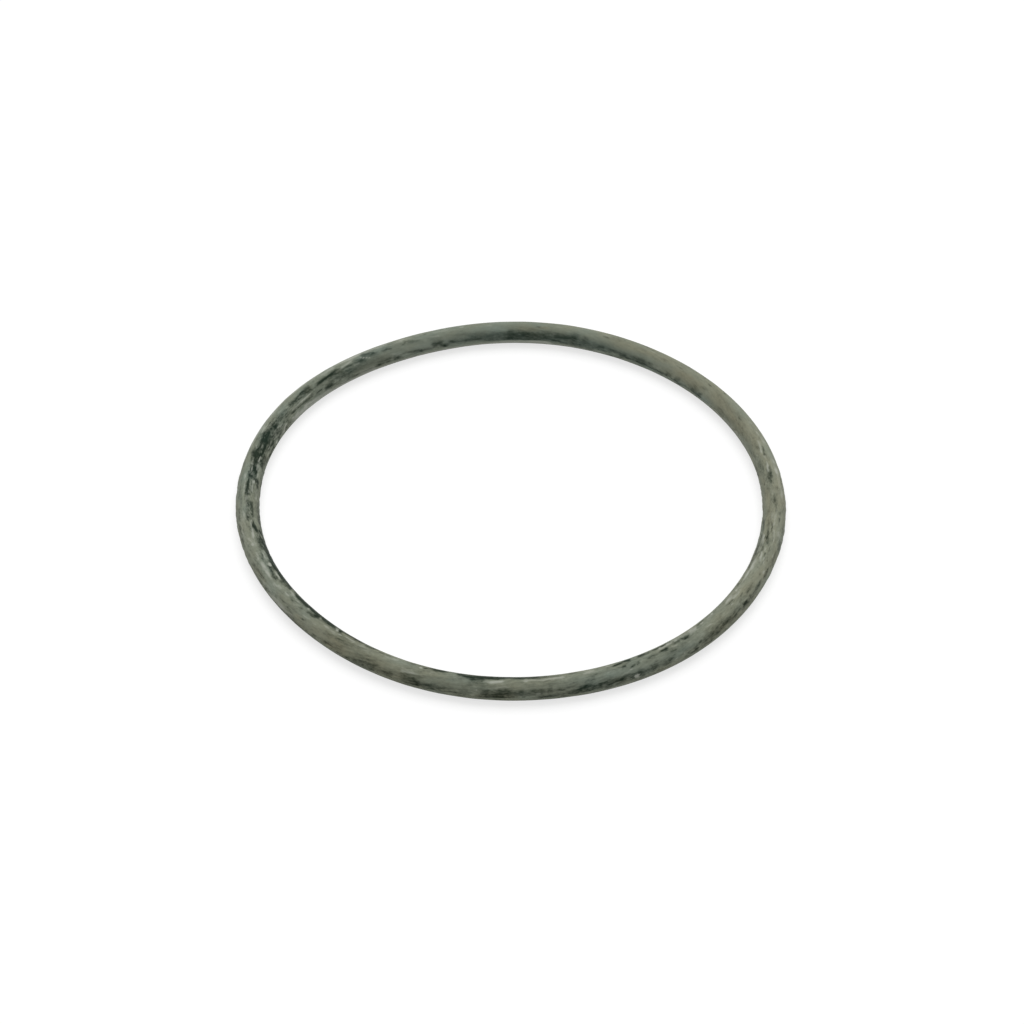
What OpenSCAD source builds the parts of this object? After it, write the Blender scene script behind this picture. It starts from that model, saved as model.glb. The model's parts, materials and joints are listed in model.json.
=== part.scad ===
// O-ring: one moulded ring of rubber with a round section. The two halves of its mould meet on
// the ring's mid-plane, so a low trimmed ridge of flash runs round its bore and round its rim.
// Origin at the ring's centre on its mid-plane, +Z along its axis.

/* [Ring] */
// Inner diameter of the ring, measured on its round section
inner_d = 78.97; // [30:0.01:200]
// Diameter of the round section
section_d = 3.53; // [2.5:0.01:8]

/* [Mould line] */
// Height of the ridge of flash above the round section
flash_h = 0.09; // [0.03:0.01:0.2]
// Width of the flat that trimming leaves on the ridge's crest
crest_w = 0.16; // [0.06:0.01:0.3]
// Width of the ridge where it runs out into the round section
root_w = 0.52; // [0.35:0.01:0.9]

/* [Hidden] */
ring_steps = 240;
section_steps = 96;
section_r = section_d / 2;
centre_r = inner_d / 2 + section_r;
root_x = sqrt(pow(section_r, 2) - pow(root_w / 2, 2));
crest_x = section_r + flash_h;

// Right half of the ridge's outline: flank, trimmed crest, flank
function ridge_side() = [
    [root_x, -root_w / 2],
    [crest_x, -crest_w / 2],
    [crest_x, crest_w / 2],
    [root_x, root_w / 2]
];

// The same flank and crest on the section's other side
function mirrored(points) = [for (p = points) -p];

// Section of the ring: a full round with the mould line's ridge on its inner and outer side
module section() {
    circle(r = section_r, $fn = section_steps);
    polygon(concat(ridge_side(), mirrored(ridge_side())));
}

module o_ring() {
    color([0.42, 0.44, 0.39])
        rotate_extrude($fn = ring_steps)
            translate([centre_r, 0])
                section();
}

o_ring();
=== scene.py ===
"""Looks of an o-ring lying flat: dark moulded rubber under a dusty bloom, rubbed off in streaks."""

from __future__ import annotations

import json
import logging
import math
from collections.abc import Iterable, Iterator
from dataclasses import dataclass
from enum import Enum
from random import Random
from typing import Any

import bpy
import numpy as np
from mathutils import Matrix, Vector, noise


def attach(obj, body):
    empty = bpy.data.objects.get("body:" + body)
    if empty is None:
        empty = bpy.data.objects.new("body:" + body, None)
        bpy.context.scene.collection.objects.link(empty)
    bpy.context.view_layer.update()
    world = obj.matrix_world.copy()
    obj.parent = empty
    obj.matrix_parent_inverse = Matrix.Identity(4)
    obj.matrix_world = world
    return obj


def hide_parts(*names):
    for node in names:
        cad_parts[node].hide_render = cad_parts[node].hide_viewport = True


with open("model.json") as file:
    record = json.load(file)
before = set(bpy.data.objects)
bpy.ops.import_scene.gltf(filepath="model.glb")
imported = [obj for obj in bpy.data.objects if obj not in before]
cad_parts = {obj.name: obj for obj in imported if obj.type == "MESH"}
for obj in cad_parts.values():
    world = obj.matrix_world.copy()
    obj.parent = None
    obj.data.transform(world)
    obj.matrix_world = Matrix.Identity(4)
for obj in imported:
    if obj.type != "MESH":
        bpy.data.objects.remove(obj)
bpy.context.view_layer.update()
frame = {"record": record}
LOG = logging.getLogger("o_ring")
MM = 0.001
Colour = tuple[float, float, float, float]
Span = tuple[float, float]
Mark = tuple[float, float, float, float, float, float]
WHITE: Colour = (1.0, 1.0, 1.0, 1.0)


def tint(red: int, green: int, blue: int) -> Colour:
    """Turns a colour as a screen shows it into the linear colour that a shader takes.

    Args:
        red: Red, from 0 to 255.
        green: Green, from 0 to 255.
        blue: Blue, from 0 to 255.

    Returns:
        The linear colour, with full alpha.
    """
    parts = [c / 255 for c in (red, green, blue)]
    linear = [c / 12.92 if c <= 0.04045 else ((c + 0.055) / 1.055) ** 2.4 for c in parts]
    return (*linear, 1.0)


def grey(level: float) -> Colour:
    """Gives a linear grey."""
    return (level, level, level, 1.0)


def smooth(share: np.ndarray) -> np.ndarray:
    """Eases a share from 0 to 1, with anything outside held at the ends."""
    held = np.clip(share, 0.0, 1.0)
    return held * held * (3.0 - 2.0 * held)


def turned_from(angle: np.ndarray, start: np.ndarray | float) -> np.ndarray:
    """Gives how far angles in radians lie from a start, from minus to plus half a turn."""
    return (angle - start + math.pi) % math.tau - math.pi


@dataclass(frozen=True)
class PhotoView:
    """Where the photograph was taken from, and where the ring lies in its frame, fitted to its outline."""

    elevation_deg: float = 42.44
    roll_deg: float = 0.71
    ring_radii_away: float = 12.74
    ring_radius_px: float = 262.9
    ring_right_px: float = -0.2
    ring_up_px: float = 12.1
    frame_px: int = 1024
    sensor_mm: float = 36.0
    nearest_m: float = 0.01

    def back(self) -> Vector:
        """Gives the direction from the ring to the camera."""
        tilt = math.radians(self.elevation_deg)
        return Vector((0.0, -math.cos(tilt), math.sin(tilt)))

    def seen(self, around: np.ndarray, turned: np.ndarray, slimness: float) -> tuple[np.ndarray, np.ndarray]:
        """Works out where points of the skin show from the camera. Angles are in radians.

        Args:
            around: Angles round the ring, from +X towards +Y, as a column.
            turned: Angles round the section, where 0 is outward and a quarter turn is up, as a row.
            slimness: The section's radius over the ring's.

        Returns:
            The angle round the ring at which each point shows, and the section angle that faces the camera at
            each place round the ring.
        """
        back = self.back()
        across = back.x * np.cos(around) + back.y * np.sin(around) - 1.0 / self.ring_radii_away
        along = back.y * np.cos(around) - back.x * np.sin(around)
        facing = np.arctan2(back.z, across)
        shift = slimness * np.cos(turned - facing) * along / np.hypot(across, back.z)
        return around - shift + self.moved_by_roll(around), facing

    def moved_by_roll(self, around: np.ndarray) -> np.ndarray:
        """Gives how far round the ring the camera's roll moves what shows.

        Marks are read as if the camera were level. Places in the frame are complex numbers, with right as the
        real part and up as the imaginary one.

        Args:
            around: Angles round the ring, in radians.

        Returns:
            The angles by which it moves, in radians.
        """
        back = self.back()
        place = np.cos(around) + 1j * back.z * np.sin(around)
        onward = -np.sin(around) + 1j * back.z * np.cos(around)
        nearing = back.y * np.cos(around) / (self.ring_radii_away - back.y * np.sin(around))
        return math.radians(self.roll_deg) * np.imag(place / (onward + nearing * place))

    def add_camera(self, ring_r: float) -> bpy.types.Object:
        """Places the camera.

        Args:
            ring_r: Radius of the ring's centreline, in metres.

        Returns:
            The camera, set as the scene's own.
        """
        data = bpy.data.cameras.new("photo_camera")
        data.sensor_width = self.sensor_mm
        data.lens = self.ring_radius_px * self.ring_radii_away * self.sensor_mm / self.frame_px
        data.shift_x = -self.ring_right_px / self.frame_px
        data.shift_y = -self.ring_up_px / self.frame_px
        data.clip_start = self.nearest_m
        camera = bpy.data.objects.new("photo_camera", data)
        back = self.back()
        right = Vector((1.0, 0.0, 0.0))
        up = back.cross(right)
        axes = Matrix((right, up, back)).transposed()
        roll = Matrix.Rotation(math.radians(self.roll_deg), 3, "Z")
        camera.matrix_world = (axes @ roll).to_4x4()
        camera.location = back * ring_r * self.ring_radii_away
        bpy.context.scene.collection.objects.link(camera)
        bpy.context.scene.camera = camera
        return camera


class Shade:
    """A shader socket that takes part in sums: each operator adds a Math node."""

    def __init__(self, bench: Bench, socket: bpy.types.NodeSocket) -> None:
        """Wraps a socket of the bench's tree."""
        self.bench = bench
        self.socket = socket

    def _sum(self, operation: str, first: Any, second: Any) -> Shade:
        """Adds the Math node of one operator."""
        return self.bench.node("ShaderNodeMath", {"operation": operation}, {0: first, 1: second})

    def __add__(self, other: Shade | float) -> Shade:
        """Adds two values."""
        return self._sum("ADD", self, other)

    def __radd__(self, other: float) -> Shade:
        """Adds a value to a number."""
        return self._sum("ADD", other, self)

    def __sub__(self, other: Shade | float) -> Shade:
        """Takes one value from another."""
        return self._sum("SUBTRACT", self, other)

    def __rsub__(self, other: float) -> Shade:
        """Takes a value from a number."""
        return self._sum("SUBTRACT", other, self)

    def __mul__(self, other: Shade | float) -> Shade:
        """Multiplies two values."""
        return self._sum("MULTIPLY", self, other)

    def __rmul__(self, other: float) -> Shade:
        """Multiplies a number by a value."""
        return self._sum("MULTIPLY", other, self)

    def eased(self, span: Span) -> Shade:
        """Eases from 0 at the span's start to 1 at its end."""
        settings = {"interpolation_type": "SMOOTHSTEP"}
        return self.bench.node("ShaderNodeMapRange", settings, {0: self, 1: span[0], 2: span[1]})


class Bench:
    """The node tree of a material or a world under construction."""

    def __init__(self, owner: bpy.types.Material | bpy.types.World) -> None:
        """Clears the owner's nodes.

        Args:
            owner: The material or world that the nodes make.
        """
        owner.use_nodes = True
        self.tree = owner.node_tree
        self.tree.nodes.clear()

    def place(self, kind: str, settings: dict[str, Any], sockets: dict[str | int, Any]) -> bpy.types.Node:
        """Adds a node.

        Args:
            kind: The node's type.
            settings: Its own settings, set before its sockets.
            sockets: Values or links, by socket name or number.

        Returns:
            The node.
        """
        placed = self.tree.nodes.new(kind)
        for key, value in settings.items():
            setattr(placed, key, value)
        for key, value in sockets.items():
            if isinstance(value, Shade):
                self.tree.links.new(value.socket, placed.inputs[key])
            else:
                placed.inputs[key].default_value = value
        return placed

    def node(
        self, kind: str, settings: dict[str, Any], sockets: dict[str | int, Any], out: str | int = 0
    ) -> Shade:
        """Adds a node and gives the output of it that is wanted, by its name or number."""
        return Shade(self, self.place(kind, settings, sockets).outputs[out])

    def blend(self, share: Shade | float, low: Shade | Colour, high: Shade | Colour) -> Shade:
        """Mixes two colours.

        Args:
            share: How much of the second colour.
            low: The first colour.
            high: The second colour.

        Returns:
            The mixed colour.
        """
        settings = {"data_type": "RGBA", "blend_type": "MIX", "clamp_factor": True}
        return self.node("ShaderNodeMix", settings, {0: share, 6: low, 7: high}, out=2)

    def scaled(self, vector: Shade, factors: tuple[float, float, float]) -> Shade:
        """Multiplies a vector part by part."""
        return self.node("ShaderNodeVectorMath", {"operation": "MULTIPLY"}, {0: vector, 1: factors})


class Trace(Enum):
    """What a stroke leaves on the rubber: wear, dust and chalk, and along the far side's inner edge painted
    light.
    """

    RUBBED = "rubbed"
    CHALK = "chalk"
    DUSTY = "dusty"
    SCUFFED = "scuffed"
    WARM = "warm"
    COOL = "cool"


@dataclass(frozen=True)
class Stroke:
    """One stroke of wear, placed as it is seen from the photographed side.

    Angles go round the ring from its right end over the far side. Across goes from the ring's outer edge, as
    it shows, at 0, to its inner edge at 1, and on round the hidden side to 2.
    """

    from_deg: float
    to_deg: float
    across_from: float
    across_to: float
    wide_mm: float
    strength: float
    trace: Trace = Trace.RUBBED


@dataclass(frozen=True)
class Wave:
    """One wave round the ring: its count in a turn, its swing, and where it first bulges out."""

    count: int
    swing_mm: float
    bulge_deg: float


# The waves with which the ring lies on the floor: it isn't quite a circle. A fit to its outline gave them.
LAY = (
    Wave(3, 0.224, 46.3),
    Wave(4, 0.100, -16.0),
    Wave(5, 0.052, 11.4),
    Wave(6, 0.056, 19.2),
    Wave(7, 0.040, -9.3),
)
# The waves of its thickness, which a fit to its outline gave too.
GIRTH = (
    Wave(2, 0.022, -27.0),
    Wave(3, 0.012, -50.0),
    Wave(5, 0.009, 19.0),
)


@dataclass(frozen=True)
class MouldLine:
    """The low ridge where the mould's halves met, trimmed unevenly and torn in places. Sizes are in mm."""

    flash_h: float = 0.09
    crest_w: float = 0.16
    root_w: float = 0.52
    usual_share: float = 0.8
    least_share: float = 0.15
    slow_share: float = 0.16
    slow_counts: tuple[int, int] = (5, 60)
    quick_share: float = 0.34
    quick_counts: tuple[int, int] = (60, 200)
    tears: int = 44
    tear_mm: Span = (0.5, 1.4)
    tear_stretch: Span = (1.0, 3.0)
    tear_depth: Span = (0.4, 1.0)
    tear_reach: float = 1.25
    tear_slope: float = 2.0
    waver_spread: float = 1.6

    def waver(self, rng: Random, around: np.ndarray, counts: tuple[int, int]) -> np.ndarray:
        """Gives a random closed curve round the ring.

        Args:
            rng: The source of its phases.
            around: Angles round the ring.
            counts: The fewest and the most waves in a turn.

        Returns:
            Values that mostly lie between -1 and 1.
        """
        total = np.zeros_like(around)
        for count in range(counts[0], counts[1] + 1):
            total += rng.gauss(0.0, 1.0) * np.cos(count * around + rng.uniform(0.0, math.tau))
        return total / (self.waver_spread * total.std())

    def trimmed(self, rng: Random, around: np.ndarray, ring_r: float) -> np.ndarray:
        """Gives the height that trimming has left of one ridge.

        Args:
            rng: The source of the tears and of the unevenness.
            around: Angles round the ring.
            ring_r: Radius of the ring's centreline.

        Returns:
            The crest's height at each angle.
        """
        slow = self.slow_share * self.waver(rng, around, self.slow_counts)
        quick = self.quick_share * self.waver(rng, around, self.quick_counts)
        left = np.clip(self.usual_share + slow + quick, self.least_share, 1.0)
        for _ in range(self.tears):
            off = turned_from(around, math.radians(rng.uniform(0.0, 360.0)))
            length = rng.uniform(*self.tear_mm) * rng.uniform(*self.tear_stretch)
            share = np.abs(off) * ring_r / (length / 2)
            left *= 1.0 - rng.uniform(*self.tear_depth) * smooth(self.tear_slope * (self.tear_reach - share))
        return self.flash_h * left

    def ridge(self, away: np.ndarray, height: np.ndarray) -> np.ndarray:
        """Gives the ridge's height above the round section.

        Args:
            away: Distance from the mould line along the section, as a row.
            height: Height of the crest at each station, as a column.

        Returns:
            One height for each station and section angle.
        """
        return height * smooth((self.root_w / 2 - away) / (self.root_w / 2 - self.crest_w / 2))


@dataclass(frozen=True)
class Dents:
    """The small dents that handling has left. Sizes are in mm."""

    count: int = 60
    wide: Span = (0.2, 0.45)
    long: Span = (0.25, 0.9)
    deep: Span = (0.015, 0.05)

    def depth(
        self, rng: Random, around: np.ndarray, turned: np.ndarray, ring_r: float, tube_r: float
    ) -> np.ndarray:
        """Gives the dents' depth.

        Args:
            rng: The source of their places and sizes.
            around: Angles round the ring, as a column, in radians.
            turned: Angles round the section, as a row, in radians.
            ring_r: Radius of the ring's centreline.
            tube_r: Radius of the section.

        Returns:
            The depth at each point.
        """
        depth = np.zeros((around.shape[0], turned.shape[1]))
        for _ in range(self.count):
            wide, long = rng.uniform(*self.wide), rng.uniform(*self.long)
            along = turned_from(around, rng.uniform(0.0, math.tau)) * ring_r / long
            across = turned_from(turned, rng.uniform(0.0, math.tau)) * tube_r / wide
            depth = np.maximum(depth, rng.uniform(*self.deep) * np.exp(-(along**2) - across**2))
        return depth


@dataclass(frozen=True)
class BakeMap:
    """How the ring is unrolled into a stack of bands, cut where it meets the floor, in shares of the map."""

    cut_deg: float = 270.0
    bands: int = 5
    edge: float = 0.004
    gap: float = 0.012

    def unroll(self, mesh: bpy.types.Mesh, stations: int, steps: int, first: int) -> None:
        """Gives the mesh its map.

        Args:
            mesh: The swept mesh.
            stations: How many stations it has.
            steps: How many points each station has.
            first: The point of a station at which it is cut.
        """
        per_band = stations // self.bands
        i, j = np.meshgrid(np.arange(stations), np.arange(steps), indexing="ij")
        band, along = i // per_band, i % per_band
        turn = (j - first) % steps
        corners = []
        for ahead, after in ((0, 0), (1, 0), (1, 1), (0, 1)):
            u = self.edge + (along + ahead) / per_band * (1 - 2 * self.edge)
            share = self.gap * self.bands / 2 + (turn + after) / steps * (1 - self.gap * self.bands)
            corners.append(np.stack([u, (band + share) / self.bands], axis=-1))
        layer = mesh.uv_layers.new(name="OFBake")
        layer.data.foreach_set("uv", np.stack(corners, axis=2).reshape(-1))


def keep_on_points(mesh: bpy.types.Mesh, name: str, values: np.ndarray) -> None:
    """Keeps values on a mesh's points.

    Args:
        mesh: The swept mesh.
        name: The attribute's name.
        values: A number or a vector for each point, with a row for each station.
    """
    kind, field = ("FLOAT_VECTOR", "vector") if values.ndim == 3 else ("FLOAT", "value")
    mesh.attributes.new(name, kind, "POINT").data.foreach_set(field, values.reshape(-1))


@dataclass(frozen=True)
class MouldedRing:
    """The ring: a round section swept round its lay, with a mould line on either side. Sizes are in mm."""

    centre_r: float
    section_r: float
    line: MouldLine
    dents: Dents = Dents()
    bake_map: BakeMap = BakeMap()
    stations: int = 1320
    plain_steps: int = 13
    ridge_degs: tuple[float, ...] = (0.0, 2.6, 4.4, 6.4, 8.6, 11.0)
    uneven_mm: float = 0.02
    uneven_apart_mm: float = 2.6
    grain_mm: float = 0.004
    grain_apart_mm: float = 0.55
    mismatch_mm: float = 0.02
    mismatch_deg: float = 140.0
    swirl_slope: float = -0.14
    swirl_from_deg: float = 60.0
    seed: int = 11

    def section_degs(self) -> np.ndarray:
        """Gives the section's angles, close together at the mould line and even elsewhere.

        Returns:
            The angles in degrees, from 0 outward through 90 at the top.
        """
        quarter = [*self.ridge_degs, *np.linspace(self.ridge_degs[-1], 90.0, self.plain_steps + 1)[1:]]
        half = [*quarter, *(180.0 - a for a in reversed(quarter[:-1]))]
        return np.array([*half, *(a + 180.0 for a in half[1:-1])])

    def angles(self) -> tuple[np.ndarray, np.ndarray]:
        """Gives the points' angles in radians: round the ring as a column, and round the section as a row."""
        around = np.radians(np.arange(self.stations) * 360.0 / self.stations)[:, None]
        return around, np.radians(self.section_degs())[None, :]

    def swell(self, waves: tuple[Wave, ...], around: np.ndarray) -> np.ndarray:
        """Adds up some waves at angles round the ring."""
        return sum(w.swing_mm * np.cos(w.count * (around - math.radians(w.bulge_deg))) for w in waves)

    def unevenness(self, place: Vector) -> float:
        """Gives the moulding's slight unevenness at a place."""
        slow = self.uneven_mm * noise.noise(place / self.uneven_apart_mm)
        return slow + self.grain_mm * noise.noise(place / self.grain_apart_mm)

    def build(self) -> bpy.types.Object:
        """Sweeps the section and makes the mesh, with its bake map.

        Returns:
            The ring's object.
        """
        rng = Random(self.seed)
        around, turned = self.angles()
        crest = np.zeros((around.shape[0], turned.shape[1]))
        for side in (0.0, math.pi):
            away = self.section_r * np.abs(turned_from(turned, side))
            crest += self.line.ridge(away, self.line.trimmed(rng, around, self.centre_r))
        dents = self.dents.depth(rng, around, turned, self.centre_r, self.section_r)
        radius = self.section_r + self.swell(GIRTH, around) + crest - dents
        path_r = self.centre_r + self.swell(LAY, around)
        upper = np.sign(np.sin(turned).round(6))  # -1 for the lower half, and 0 on the mould line
        apart = self.mismatch_mm * np.cos(around - math.radians(self.mismatch_deg)) * upper
        spread = path_r + apart + radius * np.cos(turned)
        swept = np.stack([spread * np.cos(around), spread * np.sin(around), radius * np.sin(turned)], axis=-1)
        rise = np.sin(turned) + 0.0 * around
        outward = np.stack([np.cos(turned) * np.cos(around), np.cos(turned) * np.sin(around), rise], axis=-1)
        points = swept.reshape(-1, 3)
        lift = np.array([self.unevenness(Vector(p)) for p in points])
        mesh = self.mesh_of((points + lift[:, None] * outward.reshape(-1, 3)) * MM)
        self.add_places(mesh)
        keep_on_points(mesh, "crest", crest / self.line.flash_h)
        ring = bpy.data.objects.new("moulded_ring", mesh)
        bpy.context.scene.collection.objects.link(ring)
        return ring

    def mesh_of(self, points: np.ndarray) -> bpy.types.Mesh:
        """Joins the swept points with quads.

        Args:
            points: The points, station by station, in metres.

        Returns:
            The closed mesh, shaded smooth and with its bake map.
        """
        section_degs = self.section_degs()
        steps = len(section_degs)
        i, j = np.meshgrid(np.arange(self.stations), np.arange(steps), indexing="ij")
        here, ahead = i * steps, (i + 1) % self.stations * steps
        after = (j + 1) % steps
        quads = np.stack([here + j, ahead + j, ahead + after, here + after], axis=-1).reshape(-1, 4)
        mesh = bpy.data.meshes.new("moulded_ring")
        mesh.from_pydata(points.tolist(), [], quads.tolist())
        mesh.polygons.foreach_set("use_smooth", [True] * len(mesh.polygons))
        mesh.update()
        cut = int(np.argmin(np.abs(section_degs - self.bake_map.cut_deg)))
        self.bake_map.unroll(mesh, self.stations, steps, cut)
        return mesh

    def add_places(self, mesh: bpy.types.Mesh) -> None:
        """Gives each point its place on the unrolled skin, as two closed circles that have no seam.

        The smears' places swirl slowly round the section, as a ring rolled and wiped in the hand is streaked.

        Args:
            mesh: The swept mesh.
        """
        around, turned = self.angles()
        most = self.swirl_slope * self.centre_r / self.section_r
        swirl = most * np.sin(around - math.radians(self.swirl_from_deg))
        even = np.zeros((around.shape[0], turned.shape[1]))
        for name, turn in (("skin", turned + even), ("smear", turned - swirl)):
            parts = [self.centre_r * np.cos(around) + even, self.centre_r * np.sin(around) + even]
            place = np.stack([*parts, self.section_r * np.cos(turn)], axis=-1)
            keep_on_points(mesh, name + "_place", place)
            keep_on_points(mesh, name + "_turn", self.section_r * np.sin(turn))


@dataclass(frozen=True)
class Reading:
    """How marks that were read off the photograph become strokes on the skin.

    Most of the marks were moved round the ring after they were read, by up to half a degree, by amounts
    that came from measuring how far they lay off the photograph's. A mark near an edge is seen slantwise,
    so it is wider on the skin than it shows. A fine mark is drawn a little stronger than it looks, because
    the skin's points blur it, and a broad one a little weaker. The gains even out how strongly the
    stretches of the ring were read.
    """

    gain: float = 1.0
    edge_gain: float = 1.0
    edge_from: float = 0.87
    most_slant: float = 0.92
    fine_mm: float = 0.35
    fine_gain: float = 1.15
    broad_mm: float = 0.7
    broad_gain: float = 0.85

    def skin_width(self, across: float, shown_mm: float) -> float:
        """Gives the width on the skin of a mark that shows a width in millimetres at a place across."""
        slant = min(self.most_slant, abs(2 * across - 1))
        return shown_mm / math.sqrt(1 - slant * slant)

    def rubbing(self, across: float, shown_mm: float, strength: float) -> float:
        """Gives the strength to rub with for a mark that shows a strength.

        Args:
            across: Where the mark's middle lies across the ring.
            shown_mm: The width that shows, in millimetres.
            strength: The strength that shows.

        Returns:
            The strength of its stroke, 1 at most.
        """
        by_width = self.fine_gain if shown_mm < self.fine_mm else 1.0
        if shown_mm >= self.broad_mm:
            by_width = self.broad_gain
        by_edge = self.edge_gain if across > self.edge_from else 1.0
        return min(1.0, strength * self.gain * by_width * by_edge)

    def strokes(self, trace: Trace, *marks: Mark) -> tuple[Stroke, ...]:
        """Makes strokes from marks.

        Args:
            trace: What they leave.
            marks: For each, where it starts and ends round the ring, in degrees, where it starts and ends
                across, in percent, the width that shows, in millimetres, and its strength, in percent.

        Returns:
            The strokes.
        """
        made = []
        for from_deg, to_deg, from_percent, to_percent, wide_mm, percent in marks:
            across_from, across_to, strength = from_percent / 100, to_percent / 100, percent / 100
            across = (across_from + across_to) / 2
            if trace is Trace.RUBBED:
                strength = self.rubbing(across, wide_mm, strength)
            if trace in (Trace.RUBBED, Trace.CHALK):
                wide_mm = self.skin_width(across, wide_mm)
            made.append(Stroke(from_deg, to_deg, across_from, across_to, wide_mm, strength, trace))
        return tuple(made)


# Marks: degrees from and to round the ring, percent from and to across it, width in mm, strength in percent.
RIGHT_END = Reading().strokes(
    Trace.RUBBED,
    (343.5, 345.3, 46, 46, 0.4, 26), (344.5, 348.5, 7, 11, 0.5, 38), (344.5, 348.5, 94, 90, 0.3, 45),
    (345, 347.7, 75, 77, 0.12, 40), (345.2, 347.6, 57, 65, 0.7, 50), (345.5, 350, 40, 46, 0.12, 30),
    (347, 350.1, 67, 69, 0.33, 55), (348.5, 352.5, 6, 6, 0.3, 25), (348.9, 353.5, 90, 94, 0.2, 50),
    (349.3, 352.5, 53, 56, 0.22, 55), (350, 358, 12, 12, 0.6, 12), (350.5, 352.5, 70, 71, 0.2, 30),
    (351.5, 358, 86, 88, 0.8, 16), (353, 354.5, 27, 27, 0.2, 35), (355.2, 356.2, 27, 27, 0.25, 40),
    (356.5, 358.7, 42, 42, 0.25, 40), (358, 362, 36, 36, 0.6, 14), (358.4, 361.7, 45, 46, 0.5, 26),
    (0, 30, 68, 68, 1.4, 16), (0, 7, 93, 93, 0.5, 18), (0.9, 4.3, 36, 34, 0.14, 35),
    (1.5, 4.1, 27, 27, 0.35, 50), (2.1, 6.1, 5, 5, 0.15, 20), (2.9, 4.1, 66, 66, 0.25, 30),
    (5.1, 9.6, 80, 74, 0.12, 30), (5.3, 6.4, 42, 46, 0.15, 45), (5.3, 8.6, 53, 53, 0.8, 22),
    (5.6, 10, 52, 48, 0.9, 42), (7.2, 10.9, 46, 38, 0.6, 45), (8.5, 12.5, 96, 95, 0.3, 30),
    (9.2, 16.2, 73, 69, 0.8, 24), (9.5, 14.5, 74, 73, 0.9, 14), (13.6, 15.6, 42, 36, 0.2, 30),
    (14.4, 17.5, 36, 26, 0.3, 45), (17.1, 18.1, 50, 50, 0.25, 35), (19.3, 20.4, 23, 19, 0.2, 35),
    (23.8, 25, 86, 87, 0.3, 15), (25.5, 27, 90, 90, 0.3, 15), (26, 60, 32, 36, 1.8, 10),
    (27, 28.2, 41, 38, 0.22, 30), (27, 36, 26, 26, 1.2, 14), (28, 35, 86, 80, 0.5, 20),
    (31.5, 34.6, 80, 73, 0.35, 25), (35.3, 35.8, 6, 6, 0.12, 50), (39.5, 40.7, 18, 20, 0.15, 40),
    (39.6, 41.9, 45, 50, 0.4, 25), (39.9, 41.7, 90, 92, 0.4, 50), (40.1, 41.3, 76, 80, 0.35, 50),
    (41.3, 43.5, 86, 72, 1.1, 32), (41.9, 42.5, 5, 5, 0.14, 40), (42.1, 45.1, 80, 83, 0.8, 28),
    (45.1, 47.6, 86, 94, 0.3, 30),
)
FAR_RIGHT = Reading(gain=0.72).strokes(
    Trace.RUBBED,
    (46.6, 50.1, 93, 94, 0.35, 38), (47.2, 48.8, 76, 80, 0.7, 60), (48.1, 49.1, 22, 26, 0.2, 35),
    (49.7, 51.6, 82, 78, 0.7, 60), (50, 53.5, 84, 84, 0.8, 10), (51.9, 52.9, 88, 88, 0.5, 45),
    (52.3, 53.5, 24, 25, 0.15, 30), (52.9, 55.1, 88, 87, 0.5, 42), (53, 60, 91, 88, 0.8, 12),
    (55.1, 58.1, 80, 82, 0.7, 60), (55.5, 56.7, 67, 67, 0.3, 35), (56.4, 57, 9, 9, 0.12, 40),
    (57.1, 61.1, 78, 76, 1, 65), (57.7, 59.5, 70, 69, 0.5, 45), (60.1, 64.1, 80, 81, 0.9, 60),
    (62.1, 66.1, 75, 72, 0.5, 50), (63.1, 66.5, 92, 95, 0.25, 50), (63.5, 64.2, 10, 10, 0.12, 30),
    (64.6, 70.1, 72, 71, 0.6, 45), (66.1, 69.1, 83, 82, 0.7, 50), (66.6, 72.1, 63, 55, 0.8, 35),
    (67.6, 68.9, 22, 17, 0.2, 40), (68, 69.5, 70, 70, 0.3, 60), (69.1, 73.1, 79, 78, 0.8, 55),
    (70, 78, 92, 92, 0.5, 34), (70.5, 72.3, 93, 93, 0.2, 50), (71, 79, 76, 76, 1.1, 10),
    (72.1, 76.1, 56, 51, 1.1, 75), (73.1, 76.1, 78, 76, 1, 42), (75.1, 80.1, 52, 57, 1, 78),
    (75.1, 79.6, 76, 78, 1, 38), (76.1, 80.1, 63, 64, 0.4, 65), (78.6, 80.7, 78, 79, 0.3, 50),
    (79.5, 82.8, 47, 50, 0.6, 28), (80, 84, 75, 74, 0.6, 35), (80.4, 90, 63, 64, 1.4, 92),
    (82.5, 86, 26, 26, 0.5, 14), (83.5, 84.3, 22, 21, 0.25, 35), (84, 91, 77, 76, 0.7, 42),
    (84, 89.4, 36, 33, 0.8, 20), (86, 90, 56, 56, 0.5, 50), (87, 91, 42, 42, 0.3, 25),
)
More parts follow.
